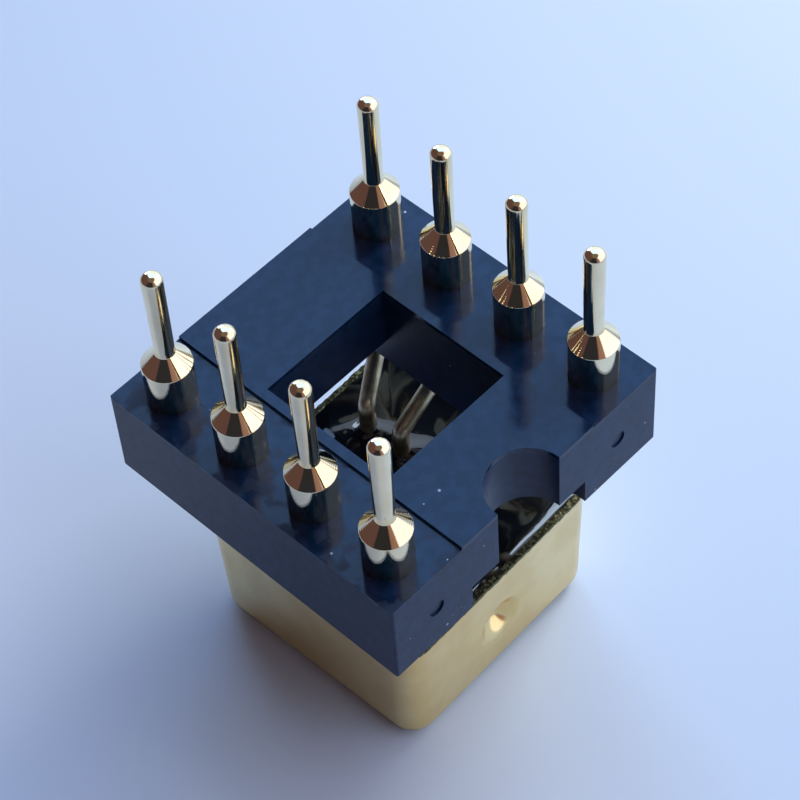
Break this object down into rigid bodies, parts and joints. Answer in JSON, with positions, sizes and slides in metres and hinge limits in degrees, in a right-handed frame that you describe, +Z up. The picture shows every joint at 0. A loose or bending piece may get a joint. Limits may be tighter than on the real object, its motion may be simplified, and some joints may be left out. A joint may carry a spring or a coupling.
{
  "type": "metal can op amp in a turned-pin socket",
  "caption": "Square metal can op amp on splayed leads, plugged into a turned-pin dual in-line socket whose solder pins point up.",
  "frame": {"origin": "middle of the part's box in plan, at the closed face of the can that it stands on", "axes": "+Z up, from the can towards the tips of the socket's pins; X across the two rows of pins; Y along the rows, with the notched end facing -Y"},
  "size_m": [0.0098, 0.01, 0.0141],
  "materials": {
    "can_brass": "satin drawn brass, tarnished at the trimmed rim",
    "potting": "glossy cast compound",
    "board": "glass-fibre laminate",
    "chip": "moulded",
    "chip_leg": "tinned",
    "lead": "tarnished gold plate",
    "insulator": "semi-gloss moulded",
    "turned_pin": "polished gold plate",
    "clip": "gold plate"
  },
  "bodies": {
    "root": {"can_shell": "can_brass", "potting_fill": "potting", "carrier_board": "board", "amplifier_chip": "chip", "chip_legs": "chip_leg", "socket_frame": "insulator", "can_lead_1": "lead", "pin_sleeve_1": "turned_pin", "contact_clip_1": "clip", "can_lead_2": "lead", "pin_sleeve_2": "turned_pin", "contact_clip_2": "clip", "can_lead_3": "lead", "pin_sleeve_3": "turned_pin", "contact_clip_3": "clip", "can_lead_4": "lead", "pin_sleeve_4": "turned_pin", "contact_clip_4": "clip", "can_lead_5": "lead", "pin_sleeve_5": "turned_pin", "contact_clip_5": "clip", "can_lead_6": "lead", "pin_sleeve_6": "turned_pin", "contact_clip_6": "clip", "can_lead_7": "lead", "pin_sleeve_7": "turned_pin", "contact_clip_7": "clip", "can_lead_8": "lead", "pin_sleeve_8": "turned_pin", "contact_clip_8": "clip"}
  },
  "joints": []
}
